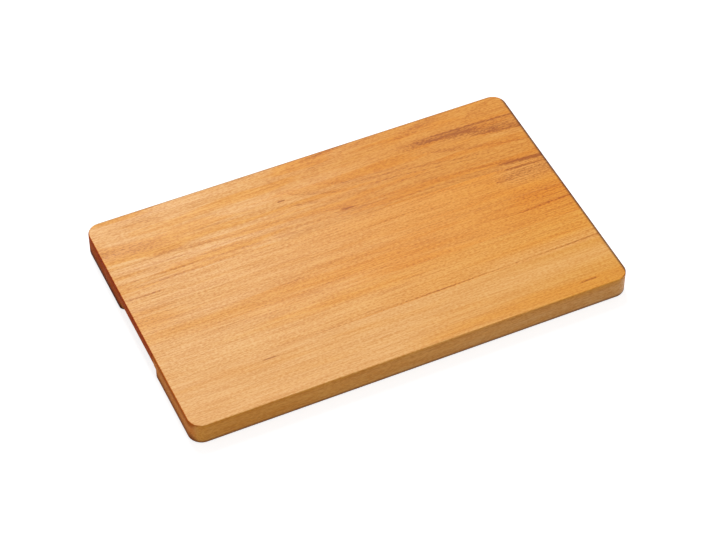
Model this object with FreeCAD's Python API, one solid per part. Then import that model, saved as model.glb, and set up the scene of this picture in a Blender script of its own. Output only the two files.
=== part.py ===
import FreeCAD, Part
import os

from FreeCAD import Vector

# An edge-glued beech cutting board, with a finger grip cut into the underside of each short end.
# Millimetres. The origin is the middle of the underside, +X runs along the grain, +Y goes to the
# far long edge and +Z is up.

# The finished board
board_length = 390.0
board_width = 240.0
board_thickness = 21.0
corner_radius = 12.0  # of the four corners, seen from above
edge_round = 1.0  # along the top and bottom edges

# The staves, which run the whole length, and the glue in the joints between them
stave_count = 6
inner_stave_width = 35.0  # the two outer staves share what is left of the board's width
glue_thickness = 0.15

# The finger grip under each short end
grip_width = 74.0  # between its two walls
grip_height = 10.0
grip_depth = 18.0
grip_mouth_radius = 5.0  # rounds the corners where the walls meet the end of the board
grip_inner_radius = 3.0  # left by the cutter where the walls meet the back
grip_lip_round = 1.5  # eases the edge of the board above the mouth

cut_overrun = 5.0  # how far a cut runs past a face that it opens
same_place = 0.001  # places closer than this count as one

# The rounding stays within the walls and corners that carry it
round_limit_share = 0.9
lip_wall = board_thickness - grip_height - grip_lip_round
narrowest_wall = min(corner_radius, grip_mouth_radius, grip_height, lip_wall)
edge_fillet = min(edge_round, round_limit_share * narrowest_wall)

left_end = -board_length / 2
near_edge = -board_width / 2
far_edge = board_width / 2


def board_blank():
    """The glued blank, cut to size with its four corners rounded."""
    blank = Part.makeBox(board_length, board_width, board_thickness, Vector(left_end, near_edge, 0))
    upright = [edge for edge in blank.Edges if edge.BoundBox.ZLength > same_place]
    return blank.makeFillet(corner_radius, upright)


def quarter_arc(centre, radius, side_x, side_y):
    """A quarter circle in plan, from one side of its centre along X to one side along Y."""
    start = centre + Vector(side_x * radius, 0, 0)
    middle = centre + Vector(side_x, side_y, 0).normalize() * radius
    end = centre + Vector(0, side_y * radius, 0)
    return Part.Arc(start, middle, end).toShape()


def grip_plan():
    """The left grip seen from above: its mouth flares, and its back corners are round."""
    outside = left_end - cut_overrun
    back = left_end + grip_depth
    flare_x = left_end + grip_mouth_radius
    corner_x = back - grip_inner_radius
    wall = grip_width / 2
    mouth = wall + grip_mouth_radius
    corner = wall - grip_inner_radius
    edges = [
        Part.makeLine(Vector(outside, -mouth, 0), Vector(outside, mouth, 0)),
        Part.makeLine(Vector(back, -corner, 0), Vector(back, corner, 0)),
    ]
    for side in (-1, 1):
        edges += [
            Part.makeLine(Vector(outside, side * mouth, 0), Vector(left_end, side * mouth, 0)),
            quarter_arc(Vector(flare_x, side * mouth, 0), grip_mouth_radius, -1, -side),
            Part.makeLine(Vector(flare_x, side * wall, 0), Vector(corner_x, side * wall, 0)),
            quarter_arc(Vector(corner_x, side * corner, 0), grip_inner_radius, 1, side),
        ]
    outline = Part.Wire(Part.sortEdges(edges)[0])
    return Part.Face(outline)


def grip_pocket():
    """What the left grip takes out of the underside."""
    plan = grip_plan()
    plan.translate(Vector(0, 0, -cut_overrun))
    return plan.extrude(Vector(0, 0, cut_overrun + grip_height))


def grip_lip():
    """What rounding the edge above the left grip's mouth takes off, from wall to wall."""
    side = cut_overrun + grip_lip_round
    wall = grip_width / 2
    lowest = Vector(left_end - cut_overrun, -wall, grip_height - cut_overrun)
    corner = Part.makeBox(side, grip_width, side, lowest)
    centre = Vector(left_end + grip_lip_round, -wall, grip_height + grip_lip_round)
    return corner.cut(Part.makeCylinder(grip_lip_round, grip_width, centre, Vector(0, 1, 0)))


def finished_board():
    """The whole board: the blank with both grips cut, then rounded along its top and bottom edges."""
    left_cuts = [grip_pocket(), grip_lip()]
    right_cuts = [cut.rotated(Vector(0, 0, 0), Vector(0, 0, 1), 180) for cut in left_cuts]
    board = board_blank().cut(left_cuts + right_cuts)
    rims = [
        edge
        for edge in board.Edges
        if edge.BoundBox.ZMax < same_place or edge.BoundBox.ZMin > board_thickness - same_place
    ]
    return board.makeFillet(edge_fillet, rims)


def joint_places():
    """Where each joint between two staves lies across the board, from the near one to the far one."""
    inner_count = stave_count - 2
    nearest = -inner_stave_width * inner_count / 2
    return [nearest + inner_stave_width * number for number in range(inner_count + 1)]


def board_between(board, low, high):
    """The full-length part of the board between two places across its width."""
    slab = Part.makeBox(
        board_length + 2 * cut_overrun,
        high - low,
        board_thickness + 2 * cut_overrun,
        Vector(left_end - cut_overrun, low, -cut_overrun),
    )
    return board.common(slab)


def staves(board):
    """The staves by name, numbered from the near long edge, each ending at the glue in its joints."""
    half_glue = glue_thickness / 2
    lows = [near_edge - cut_overrun] + [place + half_glue for place in joint_places()]
    highs = [place - half_glue for place in joint_places()] + [far_edge + cut_overrun]
    return {
        f"stave_{number}": board_between(board, low, high)
        for number, (low, high) in enumerate(zip(lows, highs), start=1)
    }


def glue_lines(board):
    """The films of glue by name, numbered like the stave on their near side."""
    half_glue = glue_thickness / 2
    return {
        f"glue_line_{number}": board_between(board, place - half_glue, place + half_glue)
        for number, place in enumerate(joint_places(), start=1)
    }


os.makedirs("parts", exist_ok=True)
whole = finished_board()
for name, piece in {**staves(whole), **glue_lines(whole)}.items():
    (solid,) = piece.Solids
    solid.exportStep(os.path.join("parts", f"{name}.step"))
    print(name, round(solid.Volume), "mm3", "closed" if solid.isValid() else "not valid")
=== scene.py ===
import math
from collections import namedtuple

import bpy
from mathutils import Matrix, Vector


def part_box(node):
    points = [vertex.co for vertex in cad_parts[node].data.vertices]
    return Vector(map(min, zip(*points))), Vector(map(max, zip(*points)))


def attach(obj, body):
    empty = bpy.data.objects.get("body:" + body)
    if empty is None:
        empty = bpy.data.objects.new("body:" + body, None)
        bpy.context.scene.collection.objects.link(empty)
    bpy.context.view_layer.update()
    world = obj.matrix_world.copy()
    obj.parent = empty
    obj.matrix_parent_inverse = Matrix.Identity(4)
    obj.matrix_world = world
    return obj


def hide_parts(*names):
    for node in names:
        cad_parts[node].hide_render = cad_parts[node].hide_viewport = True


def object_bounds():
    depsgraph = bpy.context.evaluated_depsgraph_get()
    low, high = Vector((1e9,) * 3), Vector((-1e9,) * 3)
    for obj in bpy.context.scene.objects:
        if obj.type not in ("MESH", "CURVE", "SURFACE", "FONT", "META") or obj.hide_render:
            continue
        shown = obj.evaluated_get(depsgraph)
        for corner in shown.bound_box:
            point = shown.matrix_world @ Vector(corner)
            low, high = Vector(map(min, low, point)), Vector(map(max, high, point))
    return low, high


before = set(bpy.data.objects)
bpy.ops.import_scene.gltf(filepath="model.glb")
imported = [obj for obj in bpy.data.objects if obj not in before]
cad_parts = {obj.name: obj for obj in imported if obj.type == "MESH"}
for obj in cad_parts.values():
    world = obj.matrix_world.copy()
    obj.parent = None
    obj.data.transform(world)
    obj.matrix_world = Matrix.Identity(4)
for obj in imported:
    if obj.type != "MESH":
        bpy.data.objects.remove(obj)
cad_low, cad_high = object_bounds()

# An edge-glued cutting board of oiled beech, with a finger grip under each short end. Metres.
# +X runs along the grain, +Y goes to the far long edge and +Z is up.

# The board's shape
board_length, board_width, board_thickness = cad_high - cad_low
corner_radius = 0.012  # of the four corners, seen from above
edge_round = 0.001  # along the top and bottom edges
grip_width = 0.074  # between the finger grip's walls
grip_height = 0.010
grip_depth = 0.018
grip_mouth_radius = 0.005  # rounds the corners where the walls meet the end of the board
grip_inner_radius = 0.003  # left by the cutter where the walls meet the back
grip_lip_round = 0.0015  # eases the edge of the board above the mouth

# How the shapes are cut and faceted
cut_overrun = 0.005  # how far a cut runs past a face that it opens
same_place = 0.00001  # places closer than this count as one
apart = 0.00002  # keeps the faces of two cuts out of one plane
rod_reach = 4  # how many times the size of its cut a round cutter is long
corner_steps = 16  # facets in a quarter turn of a board corner
cutter_sides = 64  # facets round a whole cutter
edge_steps = 6  # facets across a rounded edge
crease = math.radians(30)  # faces that meet at more than this keep a sharp edge between them

# The camera, which stands where the photograph was taken from
view_azimuth = math.radians(-24.77)
view_elevation = math.radians(47.45)
view_distance = 2.0785
view_target = Vector((-0.0067, -0.0201, board_thickness))
lens_pixels = 2518
image_width_pixels = 716
sensor_width = 36  # millimetres

# The studio: soft lamps that face the board, an even surround and a pale floor
Lamp = namedtuple("Lamp", "place width depth radiance")
lamps = {
    "window_side": Lamp((0.42, 2.45, 3.08), 1.05, 1.96, 16.0),
    "front_fill": Lamp((-0.9, -2.0, 0.8), 1.2, 1.0, 1.0),
}
lamp_target = (0, 0, board_thickness)
surround_light = 0.42
floor_grey = 0.5
floor_lift = 0.78  # how much the floor is brightened where it is looked at
floor_reach = 6.0
floor_gap = 0.0001  # between the floor and the underside


class Wire:
    """One output of a node. Arithmetic on it adds Math nodes to its tree."""

    def __init__(self, sheet, socket):
        self.sheet = sheet
        self.socket = socket

    def outputs(self):
        """Every output of the same node, by name."""
        return {socket.name: Wire(self.sheet, socket) for socket in self.socket.node.outputs}

    def __add__(self, other):
        return self.sheet.maths("ADD", self, other)

    def __radd__(self, other):
        return self.sheet.maths("ADD", other, self)

    def __sub__(self, other):
        return self.sheet.maths("SUBTRACT", self, other)

    def __rsub__(self, other):
        return self.sheet.maths("SUBTRACT", other, self)

    def __mul__(self, other):
        return self.sheet.maths("MULTIPLY", self, other)

    def __rmul__(self, other):
        return self.sheet.maths("MULTIPLY", other, self)

    def __truediv__(self, other):
        return self.sheet.maths("DIVIDE", self, other)

    def __rtruediv__(self, other):
        return self.sheet.maths("DIVIDE", other, self)

    def __pow__(self, other):
        return self.sheet.maths("POWER", self, other)

    def __rpow__(self, other):
        return self.sheet.maths("POWER", other, self)

    def __lt__(self, other):
        return self.sheet.maths("LESS_THAN", self, other)

    def __gt__(self, other):
        return self.sheet.maths("GREATER_THAN", self, other)

    def __neg__(self):
        return self.sheet.maths("MULTIPLY", self, -1)

    def __abs__(self):
        return self.sheet.maths("ABSOLUTE", self)


class NodeSheet:
    """A node tree that is being written. Every node in it comes from its node method."""

    def __init__(self, tree):
        self.tree = tree

    def node(self, kind, settings=None, sockets=None, output=0):
        """Adds a node, with its settings made before its sockets get values or links."""
        made = self.tree.nodes.new(kind)
        for name, value in (settings or {}).items():
            if name == "stops":
                set_stops(made.color_ramp, value)
            else:
                setattr(made, name, value)
        for key, value in (sockets or {}).items():
            for one in value if isinstance(value, list) else [value]:
                if isinstance(one, Wire):
                    self.tree.links.new(one.socket, made.inputs[key])
                else:
                    made.inputs[key].default_value = one
        return Wire(self, made.outputs[output]) if made.outputs else None

    def maths(self, operation, *values):
        return self.node("ShaderNodeMath", {"operation": operation}, dict(enumerate(values)))

    def vector(self, x, y, z):
        return self.node("ShaderNodeCombineXYZ", {}, {"X": x, "Y": y, "Z": z})

    def split(self, vector):
        return list(self.node("ShaderNodeSeparateXYZ", {}, {"Vector": vector}).outputs().values())


def set_stops(ramp, stops):
    """Gives a colour ramp its stops, a list of places and colours."""
    while len(ramp.elements) < len(stops):
        ramp.elements.new(1.0)
    for element, (place, colour) in zip(ramp.elements, stops):
        element.position = place
        element.color = (*colour, 1.0)


def fresh_sheet(owner):
    """The emptied node tree of a material or a world."""
    owner.use_nodes = True
    owner.node_tree.nodes.clear()
    return NodeSheet(owner.node_tree)


def added(name, data):
    """A new object in the scene."""
    made = bpy.data.objects.new(name, data)
    bpy.context.scene.collection.objects.link(made)
    return made


# Shapes


def moved(sheet, geometry, place, turn=(0, 0, 0)):
    sockets = {"Geometry": geometry, "Translation": sheet.vector(*place), "Rotation": turn}
    return sheet.node("GeometryNodeTransform", {}, sockets)


def block(sheet, low, high):
    """A square-cornered block between its lowest and highest corners."""
    size = [b - a for a, b in zip(low, high)]
    middle = [(a + b) / 2 for a, b in zip(low, high)]
    cube = sheet.node("GeometryNodeMeshCube", {}, {"Size": sheet.vector(*size)})
    return moved(sheet, cube, middle)


def rod(sheet, radius, length, middle, turn=(0, 0, 0)):
    """A round cutter, upright unless it is turned."""
    sockets = {"Vertices": cutter_sides, "Radius": radius, "Depth": length}
    return moved(sheet, sheet.node("GeometryNodeMeshCylinder", {}, sockets), middle, turn)


def welded(sheet, geometry):
    """A mesh whose points are joined where they lie in one place."""
    sockets = {"Geometry": geometry, "Distance": same_place}
    return sheet.node("GeometryNodeMergeByDistance", {}, sockets)


def rounded_block(sheet, low, high, radius):
    """A block between two corners whose four upright edges are rounded."""
    sockets = {"Width": high[0] - low[0], "Height": high[1] - low[1]}
    plan = sheet.node("GeometryNodeCurvePrimitiveQuadrilateral", {"mode": "RECTANGLE"}, sockets)
    sockets = {"Curve": plan, "Count": corner_steps, "Radius": radius}
    plan = sheet.node("GeometryNodeFilletCurve", {"mode": "POLY"}, sockets)
    base = sheet.node("GeometryNodeFillCurve", {"mode": "NGONS"}, {"Curve": plan})
    middle = [(a + b) / 2 for a, b in zip(low[:2], high[:2])]
    base = moved(sheet, base, (*middle, low[2]))
    sockets = {"Mesh": base, "Offset Scale": high[2] - low[2], "Individual": False}
    walls = sheet.node("GeometryNodeExtrudeMesh", {"mode": "FACES"}, sockets)
    under = sheet.node("GeometryNodeFlipFaces", {}, {"Mesh": base})
    both = sheet.node("GeometryNodeJoinGeometry", {}, {"Geometry": [walls, under]})
    return welded(sheet, both)


def carved(sheet, operation, first, others):
    """A solid cut by other solids or, where there is no first one, what the others share."""
    sockets = {"Mesh 2": others} if first is None else {"Mesh 1": first, "Mesh 2": others}
    settings = {"operation": operation, "solver": "EXACT"}
    return sheet.node("GeometryNodeMeshBoolean", settings, sockets)


def grip_cutters(sheet, size):
    """What the finger grip at the left end takes out of the board: its pocket, mouth and lip."""
    end = size["Length"] / -2
    wall = size["Grip Width"] / 2
    top = size["Grip Height"]
    outside = end - cut_overrun
    back = end + size["Grip Depth"]
    flare = size["Mouth Radius"]
    lip = size["Lip Round"]
    pocket_low = (outside, -wall, -cut_overrun)
    pocket = rounded_block(sheet, pocket_low, (back, wall, top), size["Inner Radius"])
    mouth = wall + flare
    funnel = block(sheet, (outside, -mouth, -cut_overrun), (end + flare, mouth, top - apart))
    tall = top * rod_reach
    cheeks = [rod(sheet, flare, tall, (end + flare, side * mouth, 0)) for side in (-1, 1)]
    funnel = carved(sheet, "DIFFERENCE", funnel, cheeks)
    reach = wall - apart
    strip = block(sheet, (outside, -reach, top - lip), (end + lip, reach, top + lip))
    bead_middle = (end + lip - apart, 0, top + lip + apart)
    bead = rod(sheet, lip, wall * rod_reach, bead_middle, (math.pi / 2, 0, 0))
    strip = carved(sheet, "DIFFERENCE", strip, [bead])
    return [pocket, funnel, strip]


def rim_mask(sheet, size):
    """Is 1 on the edges that get rounded: those of the top and underside, but not the joints'."""
    ends = sheet.node("GeometryNodeInputMeshEdgeVertices").outputs()
    _, first_y, first_z = sheet.split(ends["Position 1"])
    _, second_y, second_z = sheet.split(ends["Position 2"])
    bend = sheet.node("GeometryNodeInputMeshEdgeAngle", output="Unsigned Angle")
    sharp = bend > crease
    under = abs(first_z) + abs(second_z) < same_place
    top = size["Thickness"]
    over = abs(first_z - top) + abs(second_z - top) < same_place
    rims = (under + over) * sharp
    for side in ("Near Side", "Far Side"):
        joint = abs(first_y - size[side]) + abs(second_y - size[side]) < same_place
        rims = rims * (1 - joint)
    return rims


slice_sizes = {
    "Length": board_length,
    "Width": board_width,
    "Thickness": board_thickness,
    "Corner Radius": corner_radius,
    "Grip Width": grip_width,
    "Grip Height": grip_height,
    "Grip Depth": grip_depth,
    "Mouth Radius": grip_mouth_radius,
    "Inner Radius": grip_inner_radius,
    "Lip Round": grip_lip_round,
}


def slice_recipe():
    """Geometry Nodes for one full-length slice of the board, between a near and a far side."""
    tree = bpy.data.node_groups.new("board_slice", "GeometryNodeTree")
    tree.interface.new_socket("Slice", in_out="OUTPUT", socket_type="NodeSocketGeometry")
    for name in (*slice_sizes, "Near Side", "Far Side"):
        tree.interface.new_socket(name, in_out="INPUT", socket_type="NodeSocketFloat")
    tree.interface.new_socket("Finish", in_out="INPUT", socket_type="NodeSocketMaterial")
    sheet = NodeSheet(tree)
    size = sheet.node("NodeGroupInput").outputs()
    half_length = size["Length"] / 2
    half_width = size["Width"] / 2
    thickness = size["Thickness"]
    blank_low = (-half_length, -half_width, 0)
    blank_high = (half_length, half_width, thickness)
    blank = rounded_block(sheet, blank_low, blank_high, size["Corner Radius"])
    slab_low = (-half_length - cut_overrun, size["Near Side"], -cut_overrun)
    slab_high = (half_length + cut_overrun, size["Far Side"], thickness + cut_overrun)
    stave = carved(sheet, "INTERSECT", None, [blank, block(sheet, slab_low, slab_high)])
    left = grip_cutters(sheet, size)
    right = [moved(sheet, cutter, (0, 0, 0), (0, 0, math.pi)) for cutter in left]
    stave = welded(sheet, carved(sheet, "DIFFERENCE", stave, left + right))
    settings = {"data_type": "FLOAT", "domain": "EDGE"}
    sockets = {"Geometry": stave, "Name": "bevel_weight_edge", "Value": rim_mask(sheet, size)}
    stave = sheet.node("GeometryNodeStoreNamedAttribute", settings, sockets)
    stave = sheet.node("GeometryNodeRealizeInstances", {}, {"Geometry": stave})
    sockets = {"Geometry": stave, "Material": size["Finish"]}
    stave = sheet.node("GeometryNodeSetMaterial", {}, sockets)
    sheet.node("NodeGroupOutput", {}, {"Slice": stave})
    return tree


def plain_mesh(name, source):
    """The mesh that an object's modifiers give, with its finish as the only material."""
    shape = source.evaluated_get(bpy.context.evaluated_depsgraph_get())
    mesh = bpy.data.meshes.new_from_object(shape)
    mesh.name = name
    finish = mesh.materials[-1]
    mesh.materials.clear()
    mesh.materials.append(finish)
    mesh.polygons.foreach_set("material_index", [0] * len(mesh.polygons))
    return mesh


def board_slice(node, recipe, finish):
    """The slice of the board that a node of the frame stands for, with its edges rounded."""
    low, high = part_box(node)
    sides = {"Near Side": low.y, "Far Side": high.y}
    if low.y < cad_low.y + same_place:
        sides["Near Side"] = low.y - cut_overrun
    if high.y > cad_high.y - same_place:
        sides["Far Side"] = high.y + cut_overrun
    piece = added(node + "_look", bpy.data.meshes.new(node + "_blank"))
    shaping = piece.modifiers.new("shape", "NODES")
    shaping.node_group = recipe
    values = {**slice_sizes, **sides, "Finish": finish}
    for socket in recipe.interface.items_tree:
        if socket.in_out == "INPUT":
            shaping[socket.identifier] = values[socket.name]
    rounding = piece.modifiers.new("rounded edges", "BEVEL")
    rounding.limit_method = "WEIGHT"
    rounding.width = edge_round
    rounding.segments = edge_steps
    rounding.use_clamp_overlap = False
    bpy.context.view_layer.update()
    mesh = plain_mesh(node + "_shape", piece)
    piece.modifiers.clear()
    mesh.shade_smooth()
    mesh.set_sharp_from_angle(angle=crease)
    piece.data = mesh
    piece.modifiers.new("even shading", "WEIGHTED_NORMAL").keep_sharp = True
    bpy.context.view_layer.update()
    piece.data = plain_mesh(node + "_mesh", piece)
    piece.modifiers.clear()
    return piece


# Finishes

# Beech from its palest to its darkest, and the tints that it takes on
beech_shades = [
    (0.0, (0.90, 0.51, 0.185)),
    (0.35, (0.815, 0.40, 0.112)),
    (0.65, (0.70, 0.30, 0.064)),
    (1.0, (0.45, 0.15, 0.022)),
]
honey = (1.0, 0.90, 0.55, 1)
honey_warmth = (-0.1, 0.6)  # the warmth at which honey starts to show, and at which it is full
# Painted shade on the long sides, darker and more orange towards the left end
side_shade_left, side_shade_right = (1.0, 0.85, 0.45, 1), (1.05, 1.02, 1.04, 1)
side_shade_easing = (-0.17, 0.14)  # the stretch along the board in which the painted shade on the long sides eases off
# A darker, more orange top to the long sides
side_upper_tint = (0.92, 0.84, 0.58, 1)
dark_rim = (0.26, 0.21, 0.16, 1)

# What the open ends of the fibres do to the colour, partly their own darker colour and partly
# painted shade, with oil soaked in above and painted shade at the foot
OpenEnd = namedtuple("OpenEnd", "tint oil grime")
pale_end = OpenEnd((1.0, 0.70, 0.52, 1), (0.63, 0.37, 0.025, 1), (0.36, 0.28, 0.23, 1))
dark_end = OpenEnd((0.63, 0.235, 0.085, 1), (0.82, 0.55, 0.040, 1), (0.12, 0.09, 0.08, 1))

# Which faces count as the board's ends, long sides and underside, by how far they face that way
end_facing = (0.55, 0.95)
end_facing_up = 0.5  # lets the open ends show a little sooner on the rounded edges
side_facing = (0.4, 0.9)
under_facing = (-0.95, -0.8)

# Where the top's rim is darker, along the right end and the far long edge
right_rim = (board_length / 2 - 0.0032, board_length / 2 - 0.0010)
far_rim = (board_width / 2 - 0.0020, board_width / 2 - 0.0006)
far_rim_share = 0.6  # of the right rim's darkness
top_rim = (board_thickness - 0.0016, board_thickness - 0.0008)

# Heights between which the oil in the ends, the darker top of the long sides and the marks come in,
# and where the painted shade at the foot lies
soaked_heights = (board_thickness * 0.65, board_thickness * 0.95)
mark_heights = (board_thickness * 0.3, board_thickness * 0.8)
foot_shade_top, foot_shade_full = 0.0039, 0.0010
end_foot_shade_rise = 0.0073  # how much higher the painted shade at the foot reaches on open ends

# Soft noise in the wood and the glue: how long its blots are along the grain, how wide across it,
# which of a stave's patterns they take, and how finely they break up
Blots = namedtuple("Blots", "along across pattern detail")
sway_blots = Blots(0.16, 0.06, 0, 1.0)
heave_blots = Blots(0.12, 0.05, 5, 1.0)
fading_blots = Blots(0.09, 0.008, 9, 2.0)
band_blots = Blots(0.16, 0.011, 13, 2.0)
strand_blots = Blots(0.10, 0.0042, 15, 2.0)
fibre_blots = Blots(0.05, 0.0017, 17, 2.0)
thread_blots = Blots(0.036, 0.0008, 23, 1.0)
fleck_blots = Blots(0.0028, 0.0009, 29, 1.0)
mottle_blots = Blots(0.10, 0.010, 31, 2.0)
glue_blots = Blots(0.12, 0.03, 3, 2.0)
pattern_steps = (1.0, 0.37, 0.61)  # how far apart two patterns lie in the noise
blot_roughness = 0.55

# Growth rings: how uneven they are and over how many rings, where in its season a ring starts to
# darken and is darkest, and how faint the faintest rings are
ring_unevenness, uneven_rings = 2.2, 3
late_start, late_peak, late_sharpness = 0.3, 0.92, 1.5
weakest_ring = 0.4
flat_ring, steep_from = 0.3, 0.35  # rings that lie flat under the surface show less
ring_presence = 0.8  # before it fades in and out along the stave
ring_middle = 0.15  # the ring darkness that leaves the tone as it is

# Rays cross the rings: their length along the grain, their thickness and their depth
ray_length, ray_thickness, ray_depth = 0.0045, 0.0006, 0.012
ray_radius = 0.12  # how far from the pith their thickness is measured
ray_rim, ray_core = 0.5, 0.1  # where a ray fades out, and where it is full
rayless_share = 0.7  # of the places where a ray could be

# How much each kind of fibre adds to the grain, and how deep the grain goes
strand_share, fibre_share, thread_share, fleck_share, ray_share = 0.08, 0.20, 0.64, 0.9, 0.08
grain_contrast, grain_depth = 3, 0.32
band_depth, band_warmth = 0.045, 0.6
mark_sway = 0.1  # how far marks follow the wandering rings

# The oiled surface
fibre_relief, fleck_relief, ring_relief = 0.5, 0.6, 0.4
relief_strength, relief_height = 0.35, 0.0001
oiled_roughness, end_roughness = 0.40, 0.45
band_roughness, fibre_roughness = 0.1, 0.08
oiled_gloss = 0.15

# Where a log's pith lies against the board, across and up, how far it leans sideways and bows
# upwards along the board, how wide its rings are, how far they wander, how strongly they show, how
# much its colour varies and how strongly its fibres show
Log = namedtuple("Log", "pith_y pith_z lean bow ring_width wander figure mottle texture")
flat_sawn_log = Log(0.096, -0.070, 0.0, 0.097, 0.0030, 0.0028, 0.4, 2.1, 1.1)
straight_log = Log(-0.190, -0.080, 0.03, 0.0, 0.0045, 0.0015, 0.12, 0.72, 1.26)
near_log = Log(-0.330, -0.060, -0.015, 0.0, 0.0042, 0.0015, 0.07, 0.5, 1.0)

# Streaks and spots in the wood, each with its middle along and across the board
Mark = namedtuple("Mark", "x y half_length half_width slope darkness warmth")
mark_core = 0.3  # the share of its half length in which a mark is at its strongest
far_marks = [
    Mark(0.174, 0.0862, 0.080, 0.0100, -0.085, 0.33, -0.2),
    Mark(0.124, 0.0918, 0.042, 0.0060, -0.04, 0.55, 0.3),
    Mark(0.150, 0.0948, 0.068, 0.0019, -0.035, 0.55, 0.0),
    Mark(0.182, 0.0800, 0.040, 0.0045, -0.15, 0.30, 0.0),
    Mark(0.176, 0.0786, 0.040, 0.0020, -0.145, 0.36, 0.0),
    Mark(0.180, 0.0735, 0.030, 0.0035, -0.10, -0.12, -0.2),
    Mark(0.180, 0.0383, 0.034, 0.0036, -0.095, 0.74, 0.4),
    Mark(0.176, 0.0250, 0.040, 0.019, 0.0, 0.28, -0.5),
    Mark(-0.178, 0.0797, 0.055, 0.0140, -0.18, 0.28, 2.2),
    # Painted sheen: the next two pale patches at the left end stand for the wood's shimmer
    Mark(-0.182, 0.1020, 0.024, 0.0120, -0.15, 0.0, -0.9),
    Mark(-0.172, 0.0670, 0.030, 0.0040, -0.08, -0.3, -0.6),
    Mark(-0.0325, 0.0790, 0.0044, 0.0012, 0.0, 1.8, 0.0),
    Mark(0.0150, 0.0484, 0.008, 0.0020, 0.0, 0.9, 1.5),
    Mark(-0.030, 0.0510, 0.140, 0.017, 0.0, 0.04, 0.8),
    Mark(0.000, 0.1110, 0.040, 0.014, 0.0, 0.10, 0.8),
    Mark(-0.150, 0.1110, 0.034, 0.014, 0.0, 0.14, 0.4),
    Mark(-0.012, 0.1130, 0.020, 0.0070, 0.05, -0.28, 0.4),
]
middle_marks = [
    Mark(-0.177, 0.0272, 0.024, 0.0012, 0.0, 0.7, 0.5),
    Mark(0.176, 0.0313, 0.030, 0.0016, -0.063, 0.66, 0.2),
    Mark(0.176, 0.0250, 0.040, 0.019, 0.0, 0.28, -0.5),
    Mark(0.150, 0.0217, 0.012, 0.0011, 0.0, 0.45, 0.0),
    Mark(0.172, -0.0170, 0.034, 0.0018, 0.03, 0.45, 1.2),
    Mark(0.175, -0.0050, 0.050, 0.018, 0.0, 0.12, 0.5),
    Mark(0.150, -0.0660, 0.100, 0.014, 0.0, -0.05, -0.5),
    Mark(0.090, -0.0677, 0.250, 0.0011, 0.0138, 0.5, 0.3),
    Mark(-0.057, -0.0091, 0.075, 0.0009, 0.045, 0.2, 0.3),
    Mark(-0.081, -0.024, 0.115, 0.0009, 0.026, 0.2, 0.3),
    Mark(-0.020, -0.0250, 0.130, 0.036, 0.0, 0.0, 0.45),
    Mark(-0.195, 0.0020, 0.050, 0.026, 0.0, 0.10, 0.5),
    Mark(-0.140, -0.0600, 0.055, 0.024, 0.0, -0.08, -0.4),
]
near_marks = [
    Mark(-0.110, -0.0774, 0.009, 0.0010, 0.0, 0.6, 0.0),
    Mark(0.162, -0.1096, 0.012, 0.0013, 0.01, 0.7, 0.6),
    Mark(0.150, -0.0850, 0.110, 0.015, 0.0, -0.05, -0.6),
    Mark(0.120, -0.1120, 0.160, 0.014, 0.0, 0.08, 0.5),
]

# The stretch along the board in which a stave's colour deepens, and the tint it deepens to: partly
# the wood's own tone, partly painted sheen that keeps the left end paler
far_tone_and_sheen_span, middle_tone_and_sheen_span, near_tone_and_sheen_span = (-0.10, 0.09), (-0.195, 0.20), (-0.02, 0.20)
far_tone_and_sheen_tint, middle_tone_and_sheen_tint = (0.90, 0.72, 0.34, 1), (0.96, 0.74, 0.26, 1)
fair_tone_and_sheen_tint, near_tone_and_sheen_tint = (0.97, 0.82, 0.38, 1), (0.96, 0.87, 0.50, 1)

# Each stave's looks, with its tone from pale to dark. Staves of one log share a seed, so that their
# figure runs on across the joint.
Look = namedtuple("Look", "log tone seed open_end ripening ripe marks")
stave_looks = {
    "stave_1": Look(near_log, 0.34, 41.0, pale_end, near_tone_and_sheen_span, near_tone_and_sheen_tint, near_marks),
    "stave_2": Look(straight_log, 0.34, 23.0, pale_end, middle_tone_and_sheen_span, fair_tone_and_sheen_tint, middle_marks),
    "stave_3": Look(straight_log, 0.37, 23.0, dark_end, middle_tone_and_sheen_span, middle_tone_and_sheen_tint, middle_marks),
    "stave_4": Look(straight_log, 0.35, 23.0, dark_end, middle_tone_and_sheen_span, middle_tone_and_sheen_tint, middle_marks),
    "stave_5": Look(flat_sawn_log, 0.40, 7.0, dark_end, far_tone_and_sheen_span, far_tone_and_sheen_tint, far_marks),
    "stave_6": Look(flat_sawn_log, 0.39, 7.0, dark_end, far_tone_and_sheen_span, far_tone_and_sheen_tint, far_marks),
}

# The glue is about as pale as the wood, varies slowly along a joint and is darker at its ends, like
# the wood there, partly as painted shade
glue_shades = [(0.0, (0.80, 0.38, 0.100)), (1.0, (0.70, 0.29, 0.060))]
glue_middle, glue_contrast = 0.5, 1.2
glue_end_and_shade = (0.45, 0.20, 0.10, 1)
glue_roughness, glue_unevenness = 0.5, 0.1
glue_gloss = 0.25

# A Mix node's sockets for colours
mix_amount, mix_first, mix_second, mix_result = 0, 6, 7, 2


def smooth(value, low, high):
    """Rises from 0 to 1, without corners, as the value goes from low to high."""
    sockets = {"Value": value, "From Min": low, "From Max": high}
    settings = {"interpolation_type": "SMOOTHSTEP"}
    return value.sheet.node("ShaderNodeMapRange", settings, sockets)


def at_least(least, value):
    """Lifts a value between 0 and 1 to one between the least and 1."""
    return least + value * (1 - least)


def cloud(place, blots, seed=0.0):
    """Soft noise about 0."""
    start = tuple(step * (seed + blots.pattern) for step in pattern_steps)
    scale = (1 / blots.along, 1 / blots.across, 1 / blots.across)
    sockets = {"Vector": place, "Location": start, "Scale": scale}
    stretched = place.sheet.node("ShaderNodeMapping", {}, sockets)
    sockets = {"Vector": stretched, "Scale": 1.0, "Detail": blots.detail}
    sockets["Roughness"] = blot_roughness
    return place.sheet.node("ShaderNodeTexNoise", {}, sockets) * 2 - 1


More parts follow.
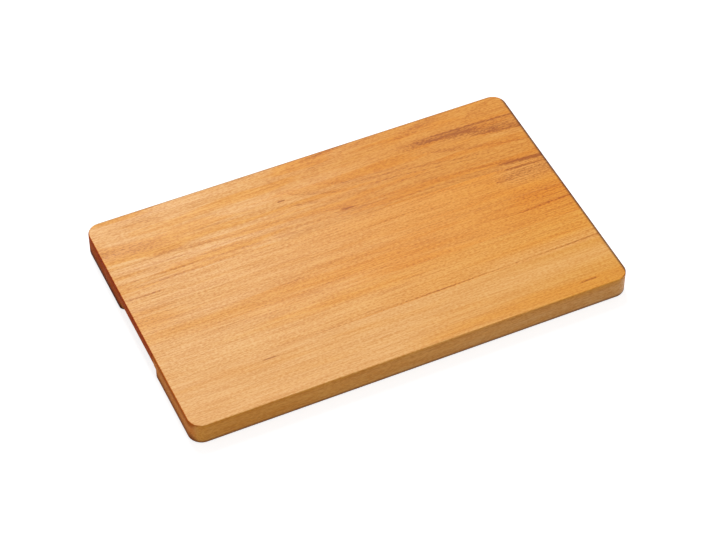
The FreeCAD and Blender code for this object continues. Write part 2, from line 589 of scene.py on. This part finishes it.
def streak(x, y, mark):
    """Is 1 in the middle of a mark that lies along the grain, and fades towards its rim."""
    along = abs(x - mark.x) / mark.half_length
    across = abs(y - mark.y - (x - mark.x) * mark.slope) / mark.half_width
    return smooth(along, 1.0, mark_core) * smooth(across, 1.0, 0.0)


def mixed(sheet, blend, amount, first, second):
    settings = {"data_type": "RGBA", "blend_type": blend}
    sockets = {mix_amount: amount, mix_first: first, mix_second: second}
    return sheet.node("ShaderNodeMix", settings, sockets, mix_result)


def blended(first, second, amount):
    """The first colour going over into the second one."""
    return mixed(amount.sheet, "MIX", amount, first, second)


def tinted(colour, tint, amount):
    """A colour with a tint soaked into it."""
    return mixed(colour.sheet, "MULTIPLY", amount, colour, tint)


# A point of the surface: where it lies on the board, and how far it faces along each axis
Spot = namedtuple("Spot", "place x y z facing_x facing_y facing_z")


def surface_spot(sheet):
    place = sheet.node("ShaderNodeTexCoord", output="Object")
    facing = sheet.node("ShaderNodeTexCoord", output="Normal")
    return Spot(place, *sheet.split(place), *sheet.split(facing))


def open_ends(spot):
    """Is 1 where the ends of the fibres show, at the board's ends."""
    return smooth(abs(spot.facing_x) + abs(spot.facing_z) * end_facing_up, *end_facing)


# How dark the growth rings are at a spot, how far it lies from the pith and round it, and how far
# the rings wander there
Growth = namedtuple("Growth", "rings radius turn sway")


def growth_rings(sheet, spot, log, seed):
    """Rings round the pith, which wanders, leans and bows along the stave."""
    sway = cloud(spot.place, sway_blots, seed) * log.wander
    heave = cloud(spot.place, heave_blots, seed) * log.wander
    from_left = spot.x + board_length / 2
    across = spot.y - log.pith_y - spot.x * log.lean + sway
    up = spot.z - log.pith_z - from_left * from_left * log.bow + heave
    radius = (across * across + up * up) ** 0.5
    turn = sheet.maths("ARCTAN2", across, up)
    one_way = {"noise_dimensions": "1D"}
    outwards = radius / (log.ring_width * uneven_rings) + seed
    sockets = {"W": outwards, "Scale": 1.0, "Detail": 1.0}
    uneven = sheet.node("ShaderNodeTexNoise", one_way, sockets)
    growth = radius / log.ring_width + uneven * ring_unevenness
    ring = sheet.maths("FLOOR", growth)
    season = growth - ring
    late = smooth(season, late_start, late_peak) ** late_sharpness * smooth(season, 1.0, late_peak)
    vigour = sheet.node("ShaderNodeTexWhiteNoise", one_way, {"W": ring + seed})
    presence = ring_presence + cloud(spot.place, fading_blots, seed)
    steep = smooth(abs(across) / radius, 0.0, steep_from)
    rings = late * at_least(weakest_ring, vigour) * presence * at_least(flat_ring, steep)
    return Growth(rings, radius, turn, sway)


def ray_flecks(sheet, spot, growth):
    """The rays that cross the rings, where they come to the surface."""
    along = spot.x / ray_length
    around = growth.turn * (ray_radius / ray_thickness)
    where = sheet.vector(along, around, growth.radius / ray_depth)
    cells = sheet.node("ShaderNodeTexVoronoi", {}, {"Vector": where, "Scale": 1.0}).outputs()
    chosen = sheet.split(cells["Color"])[0] > rayless_share
    return smooth(cells["Distance"], ray_rim, ray_core) * chosen


def oiled_and_shaded(spot, wood, side, end, open_end):
    """Wood with painted shade on its long sides and a darker top to them, ends that are darker
    partly in their own colour and partly as painted shade, oil in its ends, darker rims and painted
    shade at its foot.
    """
    soaked = smooth(spot.z, *soaked_heights)
    # Painted shade on the long sides, darker and more orange towards the left end
    side_shade_tint = blended(side_shade_left, side_shade_right, smooth(spot.x, *side_shade_easing))
    wood = tinted(wood, side_shade_tint, side)
    # A darker, more orange top to the long sides
    wood = tinted(wood, side_upper_tint, side * soaked)
    # The ends are darker, partly the end grain's own colour and partly painted shade
    end_grain_and_shade = tinted(wood, open_end.tint, 1.0)
    end_grain_and_shade = tinted(end_grain_and_shade, open_end.oil, soaked)
    wood = blended(wood, end_grain_and_shade, end)
    # Darker along the top's rim at the right end and the far long edge
    rim = smooth(spot.x, *right_rim) + smooth(spot.y, *far_rim) * far_rim_share
    wood = tinted(wood, dark_rim, rim * smooth(spot.z, *top_rim))
    # Painted shade, darker towards the foot where the board meets the floor
    foot = smooth(spot.z, foot_shade_top + end * end_foot_shade_rise, foot_shade_full)
    return tinted(wood, open_end.grime, foot * smooth(spot.facing_z, *under_facing))


def beech(name, look):
    """Oiled beech sawn from one place in a log, whose growth rings run through the whole stave."""
    material = bpy.data.materials.new(name)
    sheet = fresh_sheet(material)
    spot = surface_spot(sheet)
    log = look.log
    growth = growth_rings(sheet, spot, log, look.seed)
    bands = cloud(spot.place, band_blots, look.seed)
    strands = cloud(spot.place, strand_blots, look.seed)
    fibres = cloud(spot.place, fibre_blots, look.seed)
    threads = cloud(spot.place, thread_blots, look.seed)
    flecks = cloud(spot.place, fleck_blots, look.seed)
    rays = ray_flecks(sheet, spot, growth)
    end = open_ends(spot)
    side = smooth(abs(spot.facing_y), *side_facing)

    grain = strands * strand_share + fibres * fibre_share + threads * thread_share
    grain = grain + flecks * fleck_share + rays * ray_share
    grain = sheet.maths("TANH", grain * grain_contrast) * (grain_depth * log.texture)
    figure = (growth.rings - ring_middle) * log.figure * (1 + end)
    shade = look.tone + figure + bands * band_depth + grain
    warm = (cloud(spot.place, mottle_blots, look.seed) + bands * band_warmth) * log.mottle
    upper = smooth(spot.z, *mark_heights)
    # Partly the wood's own tone, partly painted sheen: the colour deepens towards the right end, so
    # the left end stays paler
    tone_and_sheen = smooth(spot.x, *look.ripening) * (1 - side)
    for mark in look.marks:
        seen = streak(spot.x, spot.y + growth.sway * mark_sway, mark) * upper
        shade = shade + seen * mark.darkness
        warm = warm + seen * mark.warmth
        if mark.warmth < 0:
            tone_and_sheen = tone_and_sheen * (1 + seen * mark.warmth)
    wood = sheet.node("ShaderNodeValToRGB", {"stops": beech_shades}, {"Fac": shade})
    wood = tinted(wood, honey, smooth(warm, *honey_warmth))
    wood = tinted(wood, look.ripe, tone_and_sheen)
    wood = oiled_and_shaded(spot, wood, side, end, look.open_end)

    height = fibres * fibre_relief + threads + flecks * fleck_relief - growth.rings * ring_relief
    sockets = {"Strength": relief_strength, "Distance": relief_height, "Height": height}
    relief = sheet.node("ShaderNodeBump", {}, sockets)
    roughness = oiled_roughness + bands * (band_roughness * log.mottle)
    roughness = roughness + fibres * fibre_roughness + end * end_roughness
    sockets = {
        "Base Color": wood,
        "Roughness": roughness,
        "Specular IOR Level": oiled_gloss,
        "Normal": relief,
    }
    surface = sheet.node("ShaderNodeBsdfPrincipled", {}, sockets)
    sheet.node("ShaderNodeOutputMaterial", {}, {"Surface": surface})
    return material


def cured_glue(name):
    """Glue that has dried in a joint and been sanded with the wood."""
    material = bpy.data.materials.new(name)
    sheet = fresh_sheet(material)
    spot = surface_spot(sheet)
    patches = cloud(spot.place, glue_blots)
    sockets = {"Fac": patches * glue_contrast + glue_middle}
    amber = sheet.node("ShaderNodeValToRGB", {"stops": glue_shades}, sockets)
    # Darker at the board's ends, like the wood there, partly as painted shade
    sockets = {
        "Base Color": tinted(amber, glue_end_and_shade, open_ends(spot)),
        "Roughness": glue_roughness + patches * glue_unevenness,
        "Specular IOR Level": glue_gloss,
    }
    surface = sheet.node("ShaderNodeBsdfPrincipled", {}, sockets)
    sheet.node("ShaderNodeOutputMaterial", {}, {"Surface": surface})
    return material


# The scene


def aimed(thing, place, target):
    """Puts a camera or a lamp in its place and turns it to what it faces."""
    thing.location = place
    thing.rotation_mode = "QUATERNION"
    thing.rotation_quaternion = (Vector(target) - Vector(place)).to_track_quat("-Z", "Y")


def set_camera():
    camera = added("camera", bpy.data.cameras.new("camera"))
    camera.data.sensor_width = sensor_width
    camera.data.lens = sensor_width * lens_pixels / image_width_pixels
    level = math.cos(view_elevation)
    back = Vector((
        math.sin(view_azimuth) * level,
        -math.cos(view_azimuth) * level,
        math.sin(view_elevation),
    ))
    aimed(camera, view_target + back * view_distance, view_target)
    bpy.context.scene.camera = camera


def set_lamp(name, lamp):
    """A soft lamp: a bright rectangle that faces the board, unseen by the camera."""
    light = bpy.data.lights.new(name, "AREA")
    light.shape = "RECTANGLE"
    light.size = lamp.width
    light.size_y = lamp.depth
    light.energy = lamp.radiance * math.pi * lamp.width * lamp.depth
    softbox = added(name, light)
    aimed(softbox, lamp.place, lamp_target)
    softbox.visible_camera = False


def where_seen(sheet):
    """Is 1 where the camera, or a reflection, looks straight at the surface."""
    rays = sheet.node("ShaderNodeLightPath").outputs()
    seen = rays["Is Camera Ray"] + rays["Is Glossy Ray"] + rays["Is Transmission Ray"]
    return sheet.maths("MINIMUM", seen, 1)


def set_world():
    """An even surround that lights the board a little and looks white."""
    world = bpy.data.worlds.new("studio")
    bpy.context.scene.world = world
    sheet = fresh_sheet(world)
    strength = surround_light + where_seen(sheet) * (1 - surround_light)
    sockets = {"Color": (1, 1, 1, 1), "Strength": strength}
    surround = sheet.node("ShaderNodeBackground", {}, sockets)
    sheet.node("ShaderNodeOutputWorld", {}, {"Surface": surround})


def set_floor():
    """A plain floor that looks pale and takes the board's shadow."""
    mesh = bpy.data.meshes.new("floor")
    ways = [(-1, -1), (1, -1), (1, 1), (-1, 1)]
    corners = [(x * floor_reach, y * floor_reach, -floor_gap) for x, y in ways]
    mesh.from_pydata(corners, [], [(0, 1, 2, 3)])
    floor = added("floor", mesh)
    material = bpy.data.materials.new("pale_floor")
    sheet = fresh_sheet(material)
    grey = (floor_grey, floor_grey, floor_grey, 1)
    matte = sheet.node("ShaderNodeBsdfDiffuse", {}, {"Color": grey})
    glow = sheet.node("ShaderNodeEmission", {}, {"Strength": where_seen(sheet) * floor_lift})
    both = sheet.node("ShaderNodeAddShader", {}, {0: matte, 1: glow})
    sheet.node("ShaderNodeOutputMaterial", {}, {"Surface": both})
    mesh.materials.append(material)


recipe = slice_recipe()
finishes = {node: beech(node + "_beech", look) for node, look in stave_looks.items()}
glue = cured_glue("cured_glue")
for node in sorted(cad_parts):
    piece = board_slice(node, recipe, finishes.get(node, glue))
    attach(piece, "root")
    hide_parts(node)

set_camera()
set_world()
set_floor()
for name, lamp in lamps.items():
    set_lamp(name, lamp)

bpy.context.scene.view_settings.view_transform = "Standard"
